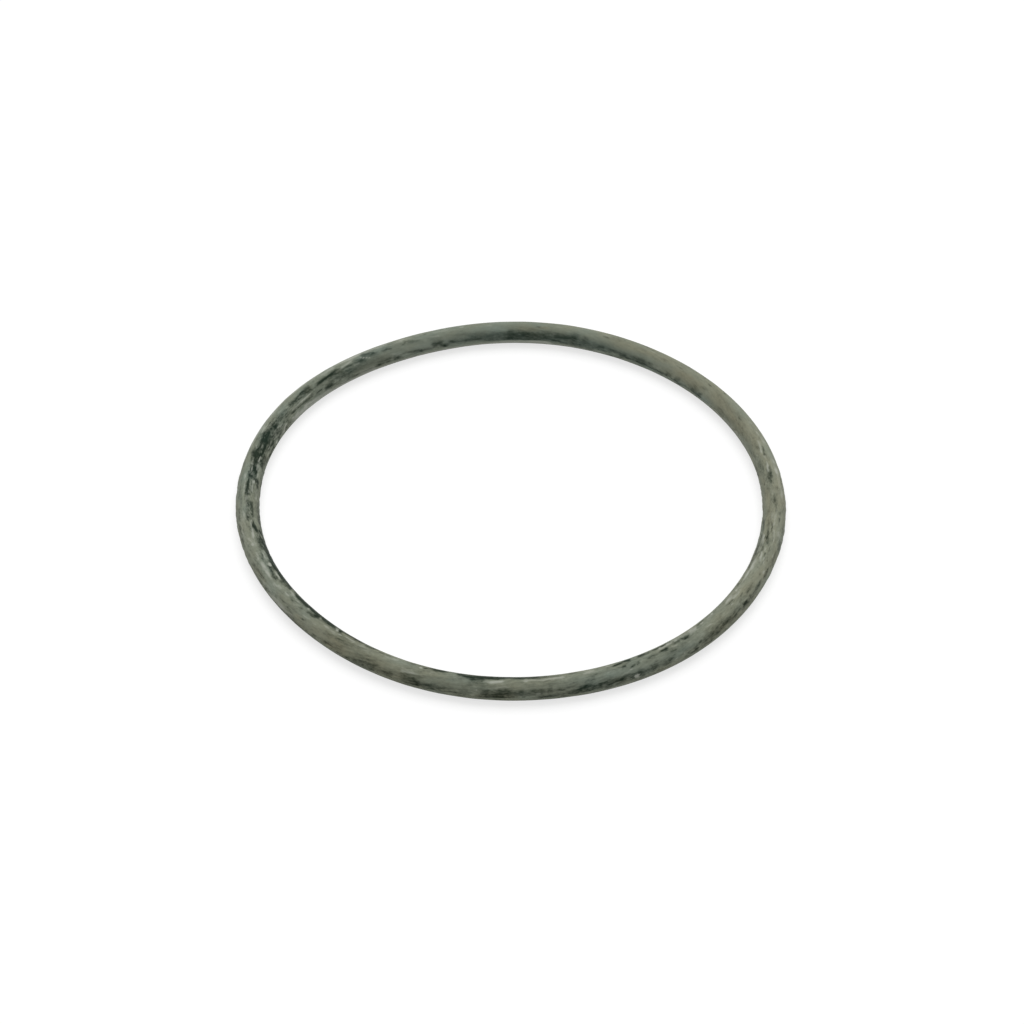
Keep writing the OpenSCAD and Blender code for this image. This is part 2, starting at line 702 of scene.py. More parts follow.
FAR_LEFT = Reading(gain=0.82).strokes(
    Trace.RUBBED,
    (89.5, 91, 60, 60, 1.4, 55), (90, 96, 69, 70, 1.2, 65), (91, 95, 58, 58, 0.8, 35),
    (95, 100, 67, 63, 1, 50), (96, 104, 50, 50, 1, 28), (97, 101.4, 73, 71, 0.4, 50),
    (100.1, 104.9, 73, 68, 0.5, 55), (103.7, 106.4, 70, 76, 0.6, 50), (105.2, 107.2, 78, 78, 0.4, 45),
    (106.2, 109.2, 64, 64, 0.8, 80), (106.3, 109.7, 42, 35, 0.4, 22), (107.8, 108.9, 74, 75, 0.4, 55),
    (108.9, 112.4, 81, 78, 0.4, 40), (109.6, 110.4, 10, 9, 0.12, 40), (110.8, 114.3, 38, 30, 0.4, 30),
    (111.3, 115.8, 80, 68, 0.6, 48), (111.6, 115.3, 29, 20, 0.2, 30), (112, 117.5, 27, 22, 0.6, 22),
    (112.3, 114.3, 79, 77, 0.5, 28), (115, 115.9, 25, 31, 0.3, 40), (115.7, 118.6, 72, 68, 0.25, 30),
    (116.6, 120.6, 82, 76, 0.5, 30), (117.4, 118.8, 80, 80, 0.3, 50), (118, 152, 42, 50, 1.8, 12),
    (118.1, 136.1, 50, 50, 2.6, 12), (118.5, 120, 33, 26, 0.25, 55), (119.1, 121.1, 70, 75, 0.6, 15),
    (119.7, 121.1, 30, 28, 0.3, 40), (120.1, 124.1, 75, 79, 0.5, 30), (121.1, 125.5, 60, 60, 1, 22),
    (121.9, 124.1, 29, 26, 0.25, 35), (122, 137, 95, 95, 0.35, 34), (122.3, 123.1, 83, 83, 0.3, 30),
    (122.7, 126.1, 20, 16, 0.8, 58), (122.8, 123.6, 24, 22, 0.3, 60), (123.8, 126, 18, 14, 0.6, 35),
    (125.1, 128.1, 46, 44, 0.6, 30), (125.2, 128.2, 40, 32, 0.9, 28), (125.7, 128.5, 33, 26, 0.6, 35),
    (126, 131, 60, 68, 0.6, 38), (126.1, 127, 36, 38, 0.4, 45), (127.5, 133.5, 52, 56, 1.6, 12),
    (129, 136, 50, 60, 1.8, 32), (129, 132.4, 36, 29, 0.3, 40), (131, 133.6, 72, 72, 0.7, 34),
    (131.8, 134, 50, 52, 0.8, 20),
)
LEFT_UPPER = Reading(gain=1.15).strokes(
    Trace.RUBBED,
    (132.6, 135, 42, 38, 0.3, 40), (132.9, 139, 27, 39, 0.5, 95), (135.3, 138, 70, 74, 0.6, 45),
    (136, 138, 76, 75, 0.5, 35), (136.5, 146, 48, 50, 1, 14), (138.8, 140.7, 69, 69, 0.25, 60),
    (140.3, 144, 41, 28, 0.6, 42), (141, 143.4, 26, 29, 0.8, 44), (141, 143, 38, 37, 0.5, 35),
    (141.9, 149.9, 68, 68, 0.25, 45), (142.5, 147.5, 38, 42, 0.7, 22), (143.5, 145.9, 26, 30, 0.35, 60),
    (144.4, 145.6, 40, 40, 0.4, 35), (145.7, 148.6, 33, 34, 0.3, 80), (148, 180, 50, 50, 1.5, 22),
    (149.3, 150.9, 38, 36, 0.2, 40), (150.8, 154.8, 60, 74, 0.14, 30), (151, 156.5, 37, 38, 0.8, 22),
    (151.3, 153.1, 38, 38, 0.25, 45), (151.6, 152.6, 77, 77, 0.2, 70), (151.8, 162.8, 78, 84, 1.3, 28),
    (152, 155.5, 24, 26, 0.6, 12), (152.8, 155.8, 37, 38, 0.5, 55), (154, 162.8, 52, 56, 1.6, 16),
    (154.7, 161.7, 56, 61, 0.5, 40), (154.8, 158.1, 40, 41, 0.9, 60), (155.4, 158.4, 24, 31, 0.4, 50),
    (155.7, 159.7, 72, 75, 0.5, 35), (155.8, 158.2, 86, 93, 0.2, 40), (157.7, 161.3, 42, 43, 1, 95),
    (158.1, 160.3, 28, 28, 0.5, 85), (159.1, 160.8, 78, 85, 0.35, 65), (160.1, 161.7, 38, 42, 0.7, 95),
    (160.5, 163, 82, 88, 0.4, 22), (160.8, 164.6, 92, 95, 0.15, 45), (161.2, 163.4, 78, 79, 0.4, 40),
    (161.3, 163.8, 44, 40, 0.6, 85), (162, 164.8, 61, 63, 0.33, 72), (163.2, 166.2, 35, 41, 1.1, 96),
    (164.5, 169, 87, 90, 0.7, 24), (164.8, 167.8, 19, 29, 0.3, 40), (165, 168.6, 78, 84, 0.7, 25),
    (166.4, 171.4, 46, 54, 0.9, 70),
)
LEFT_END = Reading(gain=1.15, edge_gain=1.3).strokes(
    Trace.RUBBED,
    (164.6, 166.2, 41, 41, 1.1, 97), (164.8, 167.4, 72, 75, 0.9, 62), (164.8, 166.8, 90, 95, 0.15, 40),
    (165, 177, 50, 52, 1, 20), (165.8, 168.2, 50, 50, 0.35, 95), (166.9, 168.7, 80, 80, 0.4, 50),
    (167.3, 170.5, 48, 58, 0.45, 92), (168.3, 170.5, 88, 92, 0.14, 35), (169.3, 172.5, 63, 70, 0.35, 75),
    (169.5, 172.5, 42, 46, 0.7, 18), (170.8, 174, 55, 68, 0.9, 22), (170.9, 172.4, 36, 42, 0.35, 70),
    (171, 173, 90, 95, 0.15, 35), (171.4, 173.6, 52, 66, 0.35, 65), (172, 175, 43, 46, 0.35, 62),
    (172.8, 174.1, 74, 78, 0.3, 60), (173, 176.2, 82, 88, 0.45, 45), (173.5, 178, 60, 61, 0.5, 20),
    (174.1, 177.5, 42, 42, 0.33, 60), (176.1, 180.1, 14, 17, 0.4, 22), (176.9, 178.6, 46, 58, 0.3, 50),
    (177.5, 179.3, 37, 42, 0.3, 18), (178, 184, 12, 12, 0.5, 14), (180.2, 184.4, 52, 53, 0.3, 25),
    (180.3, 187.3, 60, 64, 1.2, 20), (180.6, 185, 70, 71, 0.3, 60), (180.7, 184.6, 95, 95, 0.2, 30),
    (181.3, 186, 66, 72, 1.1, 20), (182.3, 186.3, 12, 14, 0.3, 30), (183.2, 186, 58, 60, 0.5, 16),
    (183.5, 194.3, 98, 98, 0.3, 30), (184.3, 186.9, 45, 50, 0.25, 35), (184.3, 186.3, 66, 72, 0.3, 35),
    (185.3, 188.5, 96, 96, 0.25, 42), (186.6, 189.8, 68, 70, 0.35, 60), (187.4, 192.4, 8, 8, 0.25, 30),
    (187.8, 191, 68, 79, 0.5, 95), (188.4, 190.4, 52, 55, 0.2, 35), (190.4, 193, 78, 82, 0.35, 50),
    (190.4, 192.4, 90, 95, 0.25, 45), (191.9, 194.4, 8, 10, 0.25, 35), (192.5, 195.5, 86, 86, 0.4, 60),
    (192.7, 196.3, 76, 77, 0.7, 50), (193.5, 195.7, 93, 93, 0.3, 60), (194.5, 201.5, 98, 98, 0.4, 55),
    (195.3, 196.9, 78, 79, 0.5, 50), (195.4, 200.9, 94, 95, 0.45, 80), (196.5, 199.1, 66, 68, 0.25, 30),
    (198.4, 200.6, 62, 62, 0.4, 28),
)
LEFT_LOWER = Reading(gain=0.97, edge_gain=1.3).strokes(
    Trace.RUBBED,
    # Marks from 87 percent across on are drawn 1.3 times as strong by edge_gain. Those at 93 to 98 percent
    # make a dark line along the inner edge.
    (195.5, 197.5, 12, 15, 0.35, 40), (197, 200.8, 93, 93, 0.35, 55), (199.4, 204.4, 15, 20, 0.5, 32),
    (200.2, 203, 70, 70, 0.4, 25), (200.6, 203.6, 87, 88, 0.45, 60), (200.6, 208.8, 93, 94, 0.35, 75),
    (200.7, 210.3, 97.5, 98, 0.6, 95), (200.8, 204.6, 94, 95, 0.45, 85), (202.6, 205.3, 70, 70, 0.4, 50),
    (203, 206, 25, 25, 0.6, 14), (203.3, 204.9, 22, 22, 0.6, 28), (205, 207.2, 62, 68, 0.4, 55),
    (205.8, 209.8, 93, 95, 0.4, 80), (206.7, 207.9, 10, 10, 0.3, 18), (208.1, 210.6, 76, 84, 0.3, 30),
    (208.5, 212.5, 24, 24, 0.7, 16), (209.6, 212, 95, 93, 0.4, 85), (209.7, 225.2, 3, 3, 0.35, 40),
    (210.3, 211.3, 22, 22, 0.2, 30), (211, 214.2, 98, 98, 0.3, 52), (211.7, 213.3, 33, 30, 0.4, 32),
    (211.7, 212.4, 5, 5, 0.15, 40), (212, 216, 72, 72, 0.6, 24), (213.6, 214.9, 68, 64, 0.2, 45),
    (213.9, 215.8, 90, 92, 0.35, 75), (214.6, 229.8, 97, 97, 0.45, 60), (214.7, 216.8, 30, 20, 0.3, 20),
    (215.6, 217.6, 91, 91, 0.4, 90), (216.2, 217.8, 42, 42, 0.3, 25), (216.4, 217.5, 19, 19, 0.35, 28),
    (217.2, 218.3, 68, 68, 0.25, 35), (217.4, 219.2, 90, 90, 0.35, 80), (217.6, 218.4, 4, 4, 0.14, 40),
    (218.9, 220.8, 93, 93, 0.3, 60), (219.4, 220.9, 32, 40, 0.15, 40), (219.6, 221.8, 74, 76, 0.4, 60),
    (220.4, 221.1, 5, 5, 0.15, 50), (220.5, 222.5, 93, 93, 0.3, 60), (221.5, 223.3, 80, 88, 0.5, 90),
    (222.2, 222.9, 7, 7, 0.15, 40), (223.8, 226.8, 92, 95, 0.33, 85), (224.2, 225.4, 10, 12, 0.4, 50),
    (225.2, 228, 93, 95, 0.35, 85), (225.6, 226.8, 12, 22, 0.2, 30), (226.1, 238.1, 66, 70, 1.4, 14),
    (227.2, 229.8, 17, 22, 0.35, 50), (227.4, 229.8, 55, 65, 0.15, 35), (229.1, 240.1, 98, 98, 0.3, 30),
    (229.2, 230.1, 91, 91, 0.3, 70), (229.5, 232.3, 15, 25, 0.8, 28), (229.5, 230.8, 57, 62, 0.15, 30),
    (230, 236, 70, 72, 0.8, 22), (230.1, 240.1, 2, 4, 0.25, 20), (231.1, 236.1, 96, 96, 0.2, 40),
    (233.5, 236.1, 10, 15, 0.6, 18), (235.1, 240.1, 6, 10, 0.3, 20), (235.5, 236.4, 15, 15, 0.2, 30),
    (236.1, 241.1, 25, 25, 1.2, 38), (236.5, 239.2, 92, 95, 0.15, 40),
)
NEAR_SIDE = Reading(gain=0.84, edge_gain=1.3).strokes(
    Trace.RUBBED,
    # The first mark darkens the whole near side a little, from 236 to 330 degrees, across its full width.
    (236, 330, 50, 50, 5, 6), (236.1, 256.1, 22, 24, 1.1, 24), (240.1, 245.1, 20, 22, 0.8, 20),
    (240.3, 241.7, 92, 95, 0.12, 50), (241.8, 243.1, 20, 23, 0.3, 30), (242.1, 243.2, 94, 94, 0.12, 40),
    (242.8, 245, 22, 26, 0.5, 45), (246.1, 248.1, 18, 20, 0.5, 15), (246.1, 248.7, 42, 48, 0.4, 30),
    (246.1, 252.1, 4, 6, 0.3, 20), (247, 252, 95, 95, 0.3, 25), (247.1, 249.7, 28, 35, 0.8, 50),
    (248.1, 251.1, 18, 19, 0.5, 34), (249, 251.6, 38, 48, 0.5, 42), (249.4, 251, 30, 30, 0.4, 45),
    (250, 253.6, 22, 25, 0.6, 50), (251, 252.4, 90, 93, 0.15, 70), (252, 255, 10, 15, 0.4, 15),
    (252, 257, 98, 98, 0.35, 40), (252.8, 255.9, 95, 96, 0.25, 85), (253, 256, 22, 24, 0.6, 36),
    (255, 262, 24, 27, 0.8, 28), (255, 257, 5, 5, 0.2, 30), (257.2, 258.8, 18, 18, 0.12, 40),
    # Marks from 87 percent across on are drawn 1.3 times as strong by edge_gain. Those at 89 to 98 percent
    # make a dark line along the inner edge.
    (257.9, 276.9, 98, 98, 0.35, 50), (258, 260.6, 6, 10, 0.3, 26), (258.4, 260.1, 93, 92, 0.3, 65),
    (258.5, 266, 36, 36, 0.9, 16), (259.7, 261.1, 90, 90, 0.25, 95), (260.8, 264.1, 89, 92, 0.35, 97),
    (260.8, 264.8, 66, 72, 1.1, 38), (261, 262.6, 78, 82, 0.25, 60), (262.8, 264.3, 82, 82, 0.5, 38),
    (262.9, 270.1, 93, 97, 0.25, 80), (263, 265.2, 22, 22, 0.9, 36), (263.9, 267.9, 25, 28, 1.3, 48),
    (264, 270, 30, 36, 0.8, 22), (264.3, 266.2, 38, 38, 0.4, 40), (264.9, 267.5, 92, 92, 0.3, 65),
    (266.3, 269.9, 24, 28, 1.3, 50), (267.3, 269.5, 38, 38, 0.6, 35), (269.1, 272.6, 30, 31, 0.55, 65),
    (269.9, 274.1, 20, 22, 0.5, 40), (269.9, 272.1, 96, 96, 0.25, 70), (271.5, 272.4, 38, 38, 0.4, 55),
    (271.9, 275.5, 95, 93, 0.2, 60), (272.3, 276.9, 29, 33, 0.6, 36), (274, 276.4, 40, 40, 0.35, 45),
    (274, 278.5, 48, 48, 0.7, 16), (274.8, 279.8, 94, 94, 0.14, 30), (275, 280.5, 17, 18, 1, 16),
    (275.2, 279, 10, 11, 0.35, 50), (276, 283, 78, 84, 1.3, 22), (277.3, 278.3, 36, 36, 0.9, 42),
    (279, 281, 35, 32, 0.35, 50), (279.2, 284, 8, 14, 0.5, 48), (281.2, 284.4, 20, 25, 0.5, 60),
    (281.2, 283, 38, 42, 0.2, 40), (281.8, 285, 96, 96, 0.15, 35),
)
NEAR_RIGHT = Reading(gain=0.92, edge_gain=1.3).strokes(
    Trace.RUBBED,
    (283.7, 299.7, 14, 14, 0.8, 15), (284, 285.5, 28, 28, 0.5, 50), (284.7, 291.7, 10, 11, 0.5, 20),
    (284.7, 289.7, 22, 24, 0.9, 45), (284.7, 286.9, 32, 32, 0.45, 45), (285.1, 286.3, 50, 60, 0.3, 30),
    (285.5, 289.8, 84, 84, 0.8, 15), (286, 293, 27, 27, 0.8, 18), (286.4, 287.4, 58, 58, 0.4, 28),
    (287.9, 289.5, 28, 28, 0.35, 55), (289.4, 290.8, 15, 20, 0.5, 45), (289.7, 293.7, 26, 28, 0.8, 60),
    (291.7, 294.3, 88, 94, 0.25, 55), (292.1, 295.3, 28, 34, 0.6, 60), (292.5, 296.5, 86, 86, 0.7, 22),
    (293.6, 294.6, 73, 73, 0.3, 75), (294.2, 295.8, 96, 93, 0.25, 85), (294.7, 297.9, 30, 35, 0.6, 50),
    (294.7, 297.3, 15, 20, 0.5, 40), (295.4, 296.8, 62, 68, 0.3, 60), (296.9, 299.3, 20, 25, 0.6, 52),
    (296.9, 297.8, 65, 72, 0.35, 70), (297.7, 299.4, 95, 95, 0.25, 70), (298.8, 300.6, 95, 94, 0.25, 50),
    (299.4, 301.6, 22, 26, 0.9, 50), (299.6, 301.8, 72, 72, 0.3, 40), (299.6, 314.6, 75, 75, 0.8, 12),
    (301.2, 305.6, 95, 93, 0.2, 55), (301.8, 304.8, 18, 22, 0.8, 46), (302.5, 303.2, 80, 79, 0.2, 50),
    (303, 305.6, 30, 29, 0.4, 42), (303.1, 304.9, 78, 77, 0.3, 92), (305.2, 306.6, 56, 56, 0.15, 40),
    (306.4, 309, 78, 79, 0.4, 30), (307, 311, 9, 12, 0.4, 22), (307, 326, 24, 26, 1, 12),
    (307.5, 313, 84, 84, 0.6, 22), (308.4, 309.1, 17, 17, 0.3, 40), (308.8, 310, 81, 78, 0.3, 70),
    (309, 315, 10, 12, 0.6, 20), (309.4, 310.7, 77, 78, 0.32, 90), (310.3, 311.3, 15, 16, 0.3, 60),
    (311, 312.6, 25, 28, 0.2, 40), (311.5, 329.5, 35, 35, 1.6, 10), (311.9, 312.9, 30, 30, 0.25, 55),
    (312.6, 316.2, 25, 27, 0.7, 28), (313.8, 316.2, 93, 95, 0.2, 40), (314.6, 317.6, 12, 16, 0.4, 42),
    (315, 317.2, 24, 24, 0.4, 35), (316.8, 319, 20, 22, 0.4, 33), (317, 318.4, 95, 93, 0.15, 40),
    (317.5, 318.2, 35, 33, 0.2, 50), (318.5, 321.1, 26, 27, 0.6, 28), (319.1, 319.9, 27, 27, 0.25, 45),
    (320.5, 323.7, 18, 20, 0.7, 38),
)
RIGHT_LOWER = Reading().strokes(
    Trace.RUBBED,
    (321.3, 322.5, 78, 77, 0.2, 30), (321.5, 325, 25, 28, 0.7, 22), (322, 326, 22, 22, 0.6, 12),
    (323.1, 325.9, 72, 73, 0.15, 40), (325.3, 326.9, 15, 17, 0.3, 40), (326, 331, 43, 42, 0.8, 15),
    (326.3, 327.5, 44, 45, 0.2, 40), (326.5, 328.2, 21, 21, 0.55, 97), (327.8, 330.1, 17, 24, 0.4, 45),
    (327.9, 329.3, 57, 61, 0.12, 30), (329.5, 332.1, 18, 20, 0.5, 40), (329.5, 330.7, 94, 94, 0.2, 40),
    (329.9, 333.1, 46, 48, 0.3, 42), (332.1, 334.9, 20, 22, 0.35, 58), (332.3, 334.1, 94, 96, 0.14, 35),
    (333.1, 335.9, 76, 72, 0.14, 22), (334.5, 336.5, 64, 70, 0.12, 22), (335.5, 336.7, 17, 17, 0.2, 35),
    (335.9, 336.9, 42, 42, 0.3, 25), (336.1, 344.5, 94, 94, 0.3, 45), (336.5, 338.9, 15, 20, 0.4, 52),
    (337, 341, 58, 60, 0.6, 14), (337.5, 340.5, 60, 66, 0.12, 25), (338.9, 344.5, 14, 14, 0.4, 38),
    (339.9, 340.9, 5, 7, 0.2, 30), (340.1, 342.3, 76, 80, 0.15, 45), (340.5, 341.9, 36, 42, 0.14, 30),
    (340.9, 343.1, 54, 58, 0.2, 40), (341.5, 345.5, 74, 78, 0.4, 22), (342.5, 344.5, 70, 73, 0.15, 50),
    (343.4, 344.7, 47, 46, 0.35, 12), (344.5, 347.5, 3, 5, 0.2, 28), (345.6, 347.4, 57, 62, 0.7, 20),
)
CHALKED_AND_LIT_FAR = Reading().strokes(
    Trace.CHALK,
    (0, 4, 12, 10, 0.3, 30), (0, 10, 10, 12, 0.6, 20), (1.5, 4.1, 56, 50, 0.2, 35),
    (5.5, 7.3, 70, 68, 0.15, 30), (7, 12, 12, 12, 0.4, 28), (8, 9.5, 13, 13, 0.35, 60),
    (9.2, 12.8, 50, 38, 0.35, 50), (10.8, 11.6, 41, 40, 0.4, 30), (11.2, 12.6, 10, 10, 0.3, 40),
    (13, 18, 86, 86, 0.4, 22), (13.3, 14.7, 37, 42, 0.4, 30), (15.5, 19.7, 45, 32, 0.3, 50),
    (17.6, 20, 12, 12, 0.35, 35), (20.4, 22, 12, 16, 0.3, 40), (21, 30, 93, 93, 0.5, 34),
    (22, 25.6, 15, 16, 0.6, 30), (29, 36, 93, 93, 0.4, 28), (53, 55.5, 74, 74, 0.4, 24),
    (55.5, 59, 12, 12, 0.4, 24), (66.5, 69.7, 7, 14, 0.3, 32), (67.5, 71, 93, 93, 0.3, 30),
    # The mark from 72 to 150 degrees at 98 percent across is painted light along the far side's inner edge,
    # drawn in the chalk colour.
    (69.8, 70.8, 72, 75, 0.15, 40), (72, 150, 98, 98, 0.35, 60), (77.5, 79.7, 12, 14, 0.2, 30),
    (79.7, 80.7, 50, 50, 0.4, 28), (81, 86, 93, 93, 0.4, 75), (82.8, 84.6, 18, 17, 0.14, 40),
    (83, 92, 93, 93, 0.35, 30), (85, 94.4, 92, 92, 0.3, 30), (94.4, 95.6, 15, 15, 0.3, 25),
    (100.8, 102, 8, 8, 0.2, 50), (104.7, 108.2, 12, 12, 0.5, 25), (106.8, 109.3, 30, 25, 0.3, 28),
    (111.3, 116.7, 10, 5, 0.25, 42), (115.3, 118.4, 12, 14, 0.45, 40), (116.2, 118.2, 66, 66, 0.2, 30),
    # The mark from 118 to 150 degrees at 90 percent across is painted light near the far side's inner edge,
    # drawn in the chalk colour.
    (118, 150, 90, 90, 0.7, 16), (118, 165, 3, 3, 0.3, 40), (118.1, 119.7, 62, 52, 0.4, 28),
    (118.5, 120.1, 14, 14, 0.3, 30), (120.1, 125.1, 8, 8, 0.4, 28), (120.7, 121.9, 47, 45, 0.3, 20),
    (124, 129, 86, 86, 0.5, 30), (124.1, 126.4, 39, 23, 0.15, 65), (125.9, 129, 6, 5, 0.4, 36),
    (127, 128.8, 44, 43, 0.25, 32), (128.4, 132, 18, 30, 0.3, 40), (128.4, 131.6, 8, 10, 0.5, 30),
    (133, 137, 10, 12, 0.4, 35), (135.4, 138, 48, 50, 0.25, 28), (137, 144, 88, 88, 0.4, 28),
    (141.7, 149.1, 54, 59, 0.22, 50), (143.3, 145.5, 84, 80, 0.25, 45), (144, 150, 90, 92, 0.4, 38),
    (144.4, 145.9, 80, 90, 0.25, 40), (147.9, 149.3, 83, 88, 0.25, 40), (149, 156, 92, 94, 0.4, 25),
    (149.9, 150.7, 84, 84, 0.25, 50), (152.8, 155.4, 80, 93, 0.16, 40), (153, 159, 70, 72, 0.8, 20),
    (153.8, 155.2, 83, 94, 0.16, 50), (154.5, 158.5, 20, 22, 0.5, 28), (157.1, 159.3, 10, 15, 0.3, 40),
    (158.5, 159.6, 90, 94, 0.18, 65), (159.7, 162.5, 70, 79, 0.14, 50), (160.5, 161.6, 24, 20, 0.3, 32),
    (162, 163.2, 50, 50, 0.2, 60), (162.8, 163.8, 22, 29, 0.4, 45), (163.2, 164.6, 72, 70, 0.2, 30),
    (165.2, 166.2, 22, 22, 0.35, 30), (165.4, 167.6, 62, 60, 0.22, 75), (166.9, 168.7, 36, 40, 0.3, 35),
    (167.9, 170.3, 62, 67, 0.3, 55), (168.3, 171.9, 38, 50, 0.14, 60), (168.9, 170.4, 78, 79, 0.2, 45),
    (171, 172.8, 78, 78, 0.2, 35), (172, 173.2, 24, 24, 0.3, 30), (173.5, 174.5, 68, 67, 0.3, 70),
    (174, 176.6, 30, 30, 0.25, 50), (175.1, 177.3, 62, 66, 0.3, 50), (175.5, 177.5, 8, 8, 0.25, 35),
    (176, 178, 52, 50, 0.3, 32), (176.5, 180.3, 84, 88, 0.5, 42), (176.8, 177.8, 32, 34, 0.3, 40),
    (177.2, 182.5, 47, 48, 0.45, 30), (178.5, 180.1, 44, 44, 0.25, 50),
)
CHALKED_NEAR = Reading().strokes(
    Trace.CHALK,
    (183.3, 186.7, 30, 32, 0.7, 28), (184.6, 185.4, 53, 53, 0.25, 35), (186.5, 189.1, 63, 58, 0.2, 60),
    (187, 192, 12, 10, 0.5, 20), (188.4, 194.4, 20, 26, 0.5, 28), (189.2, 192.4, 62, 58, 0.35, 65),
    (191.9, 195.1, 50, 52, 0.7, 30), (192, 193, 36, 36, 0.25, 30), (193.9, 194.7, 45, 45, 0.4, 35),
    (196.8, 199.4, 50, 45, 0.45, 42), (197.8, 199.8, 74, 74, 0.3, 50), (200.4, 205, 50, 50, 0.5, 45),
    (201.6, 202.8, 79, 79, 0.3, 95), (203.4, 206.5, 54, 52, 0.33, 42), (204.7, 207.9, 84, 80, 0.3, 52),
    (205, 215, 10, 12, 0.6, 30), (207.3, 208.9, 45, 50, 0.4, 42), (208.7, 210.3, 60, 62, 0.5, 25),
    (211.3, 213.3, 62, 70, 0.5, 32), (211.8, 213.6, 84, 84, 0.3, 24), (211.8, 214.4, 87, 87, 0.3, 34),
    (213, 218.5, 10, 12, 0.5, 36), (213.2, 216.8, 80, 80, 0.3, 30), (214.6, 218.2, 58, 58, 0.4, 30),
    (219.1, 219.8, 86, 87, 0.3, 40), (219.2, 221.4, 52, 54, 0.3, 28), (222.2, 223.8, 48, 55, 0.2, 35),
    (223.2, 223.9, 88, 88, 0.3, 50), (225.2, 229.2, 75, 70, 0.4, 35), (228.1, 229.3, 93, 93, 0.3, 45),
    (228.4, 229.2, 88, 88, 0.3, 60), (229.6, 230.6, 82, 78, 0.25, 50), (231.3, 234.3, 84, 85, 0.3, 60),
    (235, 239, 84, 84, 0.5, 38), (236.8, 237.8, 30, 35, 0.1, 40), (241.1, 245.5, 86, 90, 0.3, 30),
    (246, 250, 62, 64, 0.5, 26), (246.3, 249.3, 52, 57, 0.35, 42), (249, 252, 55, 58, 0.3, 30),
    (250.1, 250.8, 89, 89, 0.16, 90), (252.4, 253.6, 82, 82, 0.5, 30), (257.4, 259.2, 82, 80, 0.4, 30),
    (262.6, 263, 38, 38, 0.4, 40), (264, 265.2, 80, 80, 0.5, 30), (265.3, 268.3, 75, 80, 0.4, 75),
    (265.9, 269.5, 56, 58, 0.6, 30), (272.2, 281.2, 85, 86, 0.35, 40), (272.4, 273.3, 80, 80, 0.2, 40),
    (274.8, 276, 25, 24, 0.4, 45), (279.4, 279.8, 26, 26, 0.25, 35), (281.5, 282.3, 49, 49, 0.14, 40),
    (284.7, 299.7, 3, 3, 0.3, 30), (285.1, 287.7, 88, 88, 0.4, 40), (289.7, 292.1, 72, 72, 0.25, 30),
    (290, 292, 92, 92, 0.3, 30), (294.5, 295.9, 58, 52, 0.12, 50), (295.6, 296.6, 20, 20, 0.35, 95),
    (296.3, 297.1, 25, 21, 0.2, 40), (302.6, 306.6, 88, 89, 0.25, 60), (302.8, 303.4, 92, 92, 0.14, 60),
    (304.8, 305.6, 92, 92, 0.14, 60), (305.3, 306, 22, 20, 0.12, 40), (305.5, 313, 93, 93, 0.4, 36),
    (305.6, 307.2, 68, 70, 0.3, 30), (307, 307.8, 89, 89, 0.2, 70), (307.6, 308.2, 24, 28, 0.14, 50),
    (309.2, 311, 66, 62, 0.25, 30), (311.2, 313.6, 88, 88, 0.5, 45), (314.8, 315.8, 89, 89, 0.15, 60),
    (315.6, 317.4, 66, 60, 0.2, 35), (317, 318.6, 90, 90, 0.15, 35), (317, 319.5, 92, 92, 0.3, 28),
    (318.6, 319.2, 92, 92, 0.14, 70), (323.5, 326.5, 84, 86, 0.3, 50), (323.5, 344.5, 86, 86, 0.5, 30),
    (324.3, 325.2, 63, 62, 0.2, 60), (325.9, 328.9, 74, 74, 0.35, 40), (328.1, 328.7, 87, 87, 0.25, 60),
    (331.9, 335.3, 86, 86, 0.25, 40), (336.1, 339.9, 84, 84, 0.3, 50), (336.8, 337.9, 30, 30, 0.3, 50),
    (339.3, 341.5, 46, 54, 0.2, 55), (339.5, 342.9, 64, 72, 0.25, 50), (342, 348.5, 86, 84, 0.4, 25),
    (342.1, 343.5, 20, 22, 0.15, 50), (342.9, 344.5, 58, 64, 0.25, 40), (344.9, 348.3, 80, 83, 0.35, 50),
    (346.5, 350.5, 35, 45, 0.25, 35), (348.5, 350.2, 22, 22, 0.35, 35), (351.5, 357.1, 50, 38, 0.3, 45),
    (352.5, 356.1, 63, 58, 0.35, 48), (357.2, 358.8, 10, 10, 0.3, 25),
)
WARM_PLACES = Reading().strokes(
    Trace.WARM,
    (-32, 62, 45, 45, 3.6, 40), (25, 31, 50, 50, 1.6, 60), (31.5, 39, 45, 40, 1.6, 50),
    (45.1, 49.6, 40, 40, 1.4, 50), (222, 250, 40, 40, 3, 45), (351.8, 363.8, 76, 76, 0.8, 70),
    (81.6, 84, 24, 24, 0.4, 90), (84, 89, 34, 34, 0.9, 60), (201.3, 206.3, 20, 25, 0.8, 60),
    (262.9, 270.9, 15, 20, 1, 50), (226.7, 230.2, 18, 18, 0.5, 70), (317.5, 323.5, 20, 22, 0.8, 50),
    (217.8, 219.8, 30, 30, 0.5, 50), (140.5, 143, 30, 36, 0.8, 60), (155.8, 169.8, 96, 90, 0.5, 30),
)
COOL_PLACES = Reading().strokes(
    Trace.COOL,
    (76, 180, 50, 50, 6, 45), (117.1, 127.1, 15, 15, 1.4, 60), (195, 222, 60, 60, 2.4, 22),
    (250, 268, 60, 60, 2.2, 25), (284, 310, 50, 50, 2.6, 50), (36.1, 60.1, 90, 90, 1.2, 90),
    (50.1, 62.1, 55, 60, 1.2, 50), (8.1, 24.1, 80, 85, 1, 35), (58, 108, 76, 70, 1.8, 80),
)
